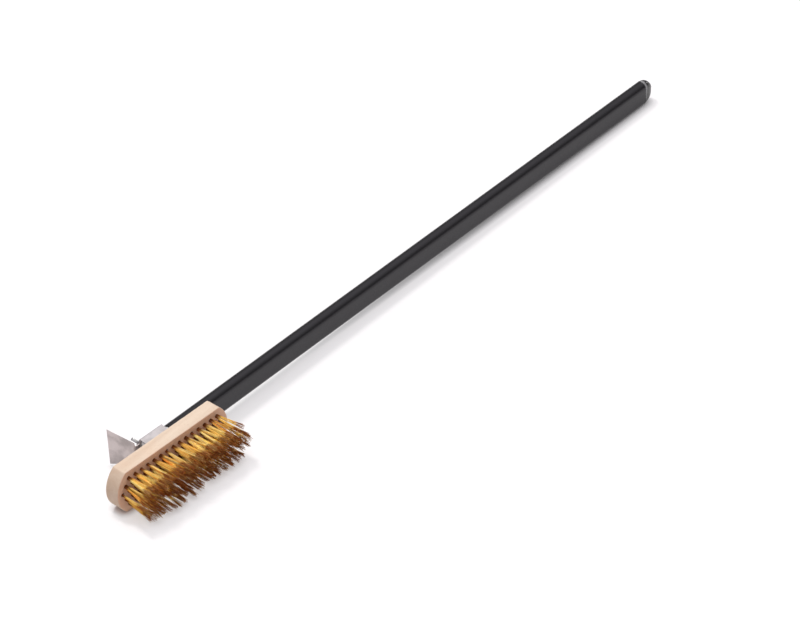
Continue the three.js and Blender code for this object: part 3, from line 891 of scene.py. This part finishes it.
def sky(strength_at_horizon, strength_overhead):
    """A room that is dim round the sides and bright overhead, like a table under a wide diffuser."""
    world = bpy.data.worlds.new("studio")
    world.use_nodes = True
    tree = world.node_tree
    background = tree.nodes["Background"]
    background.inputs["Color"].default_value = (0.985, 0.965, 1.0, 1)
    split = tree.nodes.new("ShaderNodeSeparateXYZ")
    square = tree.nodes.new("ShaderNodeMath")
    square.operation = "POWER"
    square.inputs[1].default_value = 2
    spread = tree.nodes.new("ShaderNodeMapRange")
    spread.inputs["To Min"].default_value = strength_at_horizon
    spread.inputs["To Max"].default_value = strength_overhead
    tree.links.new(tree.nodes.new("ShaderNodeTexCoord").outputs["Generated"], split.inputs[0])
    tree.links.new(split.outputs["Z"], square.inputs[0])
    tree.links.new(square.outputs[0], spread.inputs["Value"])
    tree.links.new(spread.outputs["Result"], background.inputs["Strength"])
    bpy.context.scene.world = world


def lights():
    """A soft key light overhead, a low light past the handle's end, and a wide overhead sky."""
    centre = (cad_low + cad_high) / 2
    area_light(
        "key", centre, direction=(-0.05, 0.40, 1.0), distance=6, size=(1.3, 1.3), power=188,
        colour=(1.0, 0.985, 0.95),
    )
    area_light(
        "rim", centre, direction=(0.95, -0.06, 0.19), distance=4, size=(0.35, 1.1), power=9,
    )
    sky(strength_at_horizon=0.13, strength_overhead=1.82)


def camera():
    """The photograph's view: from the bristle side, above the head, with a long lens."""
    azimuth = math.radians(-49.04)
    elevation = math.radians(38.17)
    distance = 4.523
    aim = Vector((0.3541, -0.0320, 0.0275))
    back = Vector((
        math.sin(azimuth) * math.cos(elevation),
        -math.cos(azimuth) * math.cos(elevation),
        math.sin(elevation),
    ))
    lens = bpy.data.cameras.new("camera")
    lens.lens = 176.86
    lens.sensor_width = 36
    lens.clip_end = 50
    piece = bpy.data.objects.new("camera", lens)
    bpy.context.scene.collection.objects.link(piece)
    piece.location = aim + back * distance
    piece.rotation_mode = "QUATERNION"
    piece.rotation_quaternion = back.to_track_quat("Z", "Y")
    bpy.context.scene.camera = piece


# ---- assembly -----------------------------------------------------------------------------------

def add_softened(node, name, width, body, material):
    """Adds a piece that is a CAD node's own shape with its edges eased."""
    finish_piece(softened(node, name, width), body, material, node)


def build_head(rng):
    """The block, its tufts and the bolt that it swivels on."""
    brass = brass_wire()
    finish_piece(wood_block(), "brush_head", beech(), "brush_block")
    for row in range(len(TUFTS_IN_ROW)):
        tufts = bristle_row(row, rng)
        finish_piece(tufts, "brush_head", brass, f"bristle_row_{row + 1}")
    finish_piece(threaded_bolt(), "brush_head", black_steel(), "swivel_bolt")


def build_clamp(steel, zinc):
    """The plate and its screws, the washers, the scraper and the wing nut."""
    blade_tint = (0.56, 0.498, 0.488)
    blade_steel = stainless("stainless_blade", blade_tint, streak_scale=(2400, 2400, 20))
    nut_low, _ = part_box("wing_nut")
    # zinc with painted shade round the bolt, for the wing nut
    shaded_zinc = zinc_plate("zinc_plate_shaded", shaded_above=nut_low.y + 2 * MM)
    nut = forged("wing_nut", "forged_wing_nut", voxel=0.25 * MM)

    add_softened("head_plate", "pivot_plate", 0.3 * MM, "brush_head", steel)
    for number in range(1, 5):
        node = f"plate_screw_{number}"
        add_softened(node, f"wood_screw_{number}", 0.12 * MM, "brush_head", zinc)
    add_softened("friction_washer", "nylon_washer", 0.25 * MM, "handle", nylon())
    add_softened("scraper", "scraper_sheet", 0.3 * MM, "scraper", blade_steel)
    add_softened("flat_washer", "plain_washer", 0.15 * MM, "clamp_washer", zinc)
    finish_piece(nut, "wing_nut", shaded_zinc, "wing_nut")


def build_handle(steel):
    """The saddle, the insert with its rivets, the tube and its cap."""
    cast = cast_aluminium()
    add_softened("handle_saddle", "saddle_sheet", 0.3 * MM, "handle", steel)
    add_softened("handle_insert", "cast_insert", 0.5 * MM, "handle", cast)
    for number in (1, 2):
        node = f"insert_rivet_{number}"
        add_softened(node, f"rivet_{number}", 0.2 * MM, "handle", cast)
    finish_piece(tube(), "handle", anodised_tube(), "handle_tube")
    finish_piece(end_cap(), "handle", black_plastic(), "end_cap")


def build():
    """Every piece of the brush."""
    tint = (0.515, 0.485, 0.485)
    steel = stainless("stainless", tint, streak_scale=(20, 2400, 2400))
    build_head(random.Random(SEED))
    build_clamp(steel, zinc_plate())
    build_handle(steel)


build()
floor()
lights()
camera()

scene = bpy.context.scene
scene.view_settings.view_transform = "Standard"
scene.cycles.use_denoising = True
